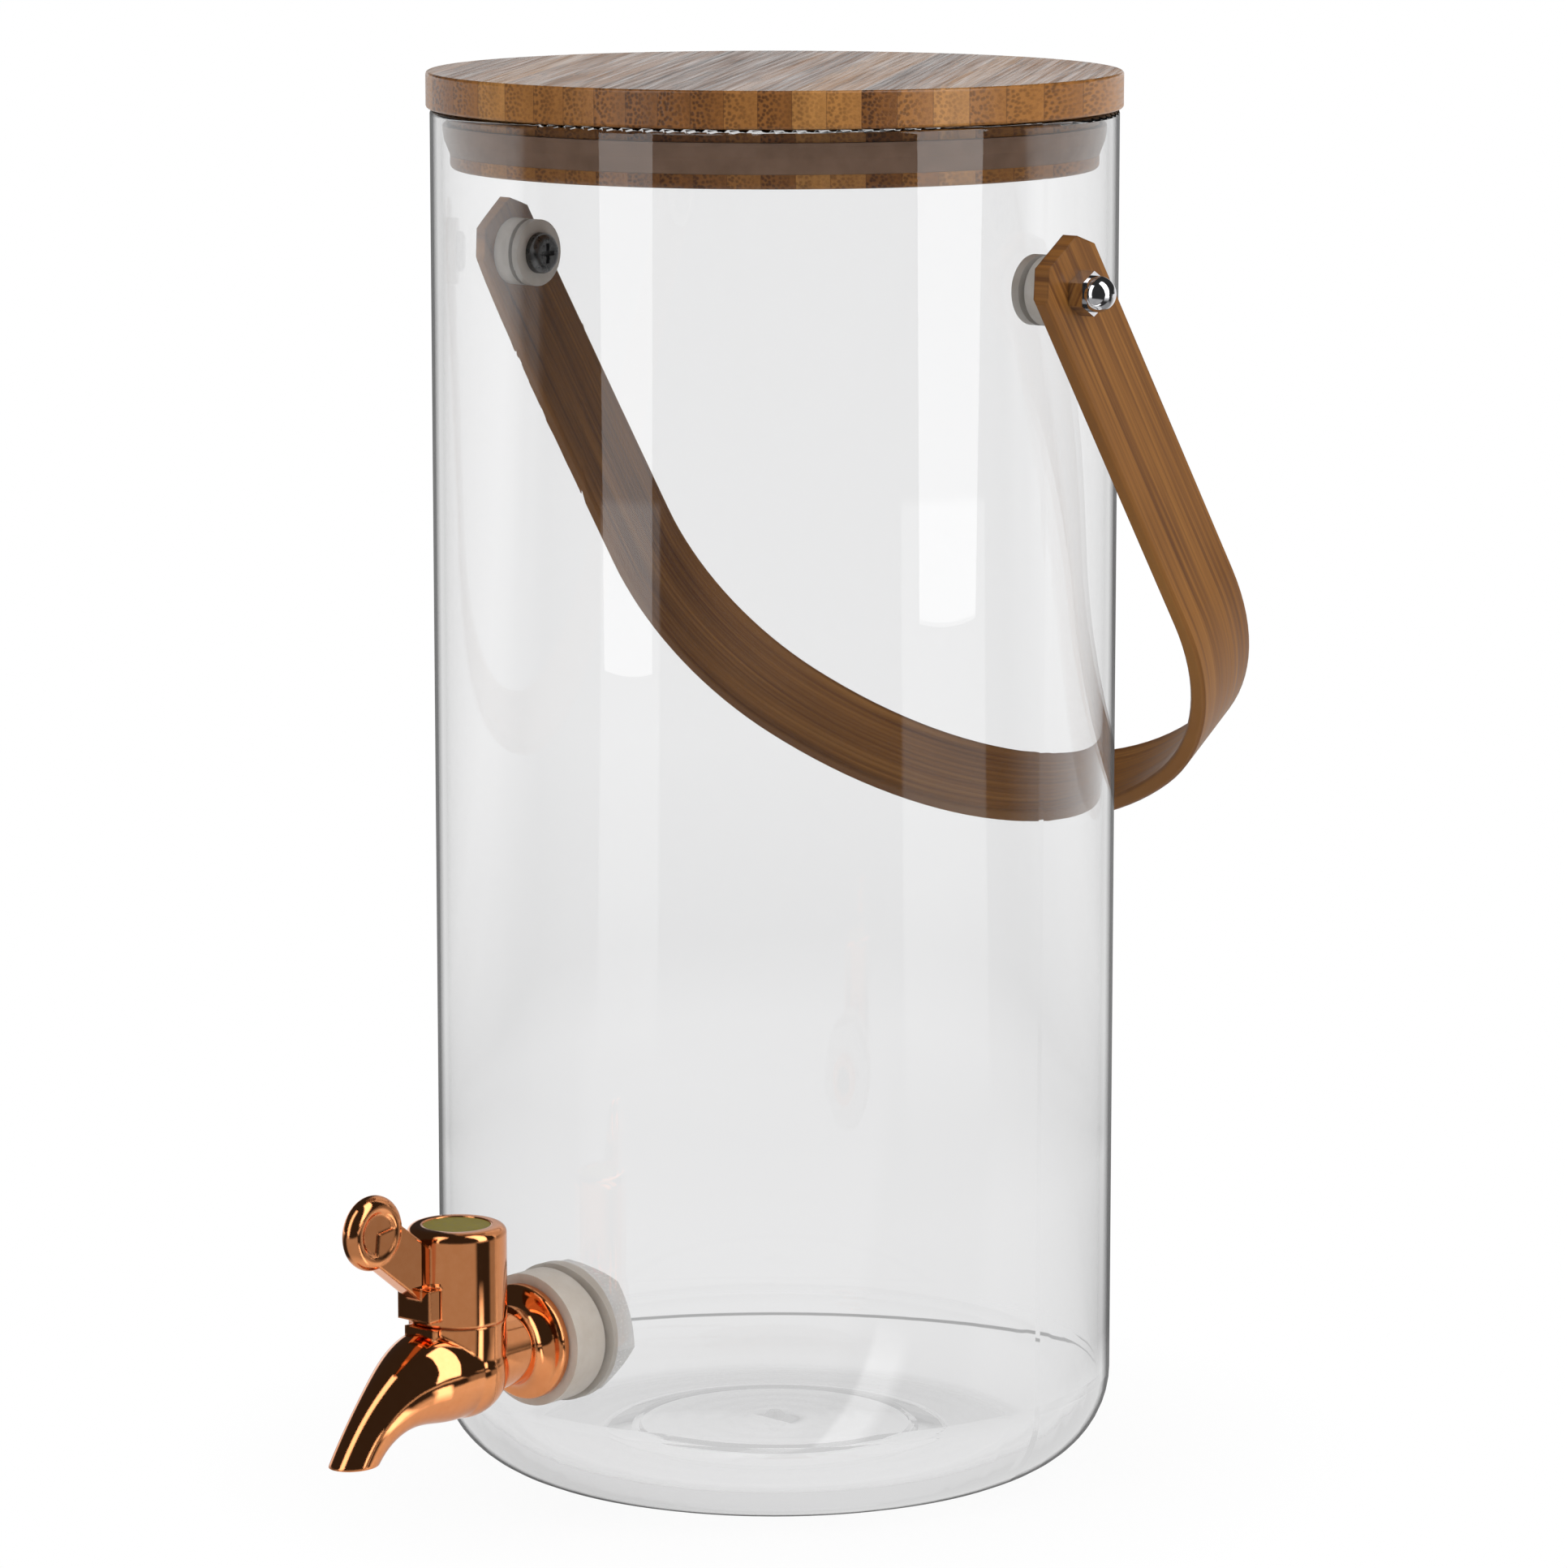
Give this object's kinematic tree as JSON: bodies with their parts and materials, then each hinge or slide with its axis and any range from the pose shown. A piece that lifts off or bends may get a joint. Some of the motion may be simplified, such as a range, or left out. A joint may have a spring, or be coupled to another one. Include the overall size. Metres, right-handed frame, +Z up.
{
  "type": "glass liquid dispenser jar with tap",
  "caption": "Tall clear glass jar for liquid detergent with a bamboo plug lid, a bamboo bail handle and a copper-plated turn tap near its base.",
  "frame": {"origin": "centre of the resting ring under the base, on the jar's axis", "axes": "+Z up along the jar's axis, -Y towards the tap, +X towards the right-hand handle pivot"},
  "size_m": [0.2216, 0.2838, 0.37],
  "materials": {
    "clear_glass": "clear polished",
    "bamboo": "oiled laminated bamboo",
    "bamboo_strap": "oiled bent bamboo",
    "silicone": "translucent silicone",
    "copper_plate": "mirror copper plating",
    "valve_plastic": "moulded",
    "seal_rubber": "moulded",
    "screw_steel": "machined",
    "chrome_nut": "polished",
    "olive_disc": "moulded",
    "nut_plastic": "translucent moulded"
  },
  "bodies": {
    "jar": {"glass_jar": "clear_glass", "handle_bolt_left": "screw_steel", "cap_nut_left": "chrome_nut", "inner_washer_left": "silicone", "outer_washer_left": "silicone", "handle_bolt_right": "screw_steel", "cap_nut_right": "chrome_nut", "inner_washer_right": "silicone", "outer_washer_right": "silicone", "tap_body": "copper_plate", "tap_outer_washer": "silicone", "tap_inner_washer": "silicone", "tap_nut": "nut_plastic"},
    "lid": {"lid_board": "bamboo", "lid_seal": "silicone"},
    "handle": {"handle_strap": "bamboo_strap"},
    "tap_handle": {"tap_lever": "copper_plate", "tap_plug": "valve_plastic", "tap_seal_ring_upper": "seal_rubber", "tap_seal_ring_lower": "seal_rubber", "tap_screw": "screw_steel", "tap_cap_disc": "olive_disc"}
  },
  "joints": [
    {"name": "lid_lift", "type": "slide", "parent": "jar", "child": "lid", "axis": [0, 0, 1], "range_m": [0, 0.06]},
    {"name": "handle_swing", "type": "hinge", "parent": "jar", "child": "handle", "pos_m": [0, 0, 0.3177], "axis": [1, 0, 0], "range_deg": [0, 291.4]},
    {"name": "tap_turn", "type": "hinge", "parent": "jar", "child": "tap_handle", "pos_m": [0, -0.1255, 0.0602], "axis": [0, 0, 1], "range_deg": [-90, 90]}
  ]
}
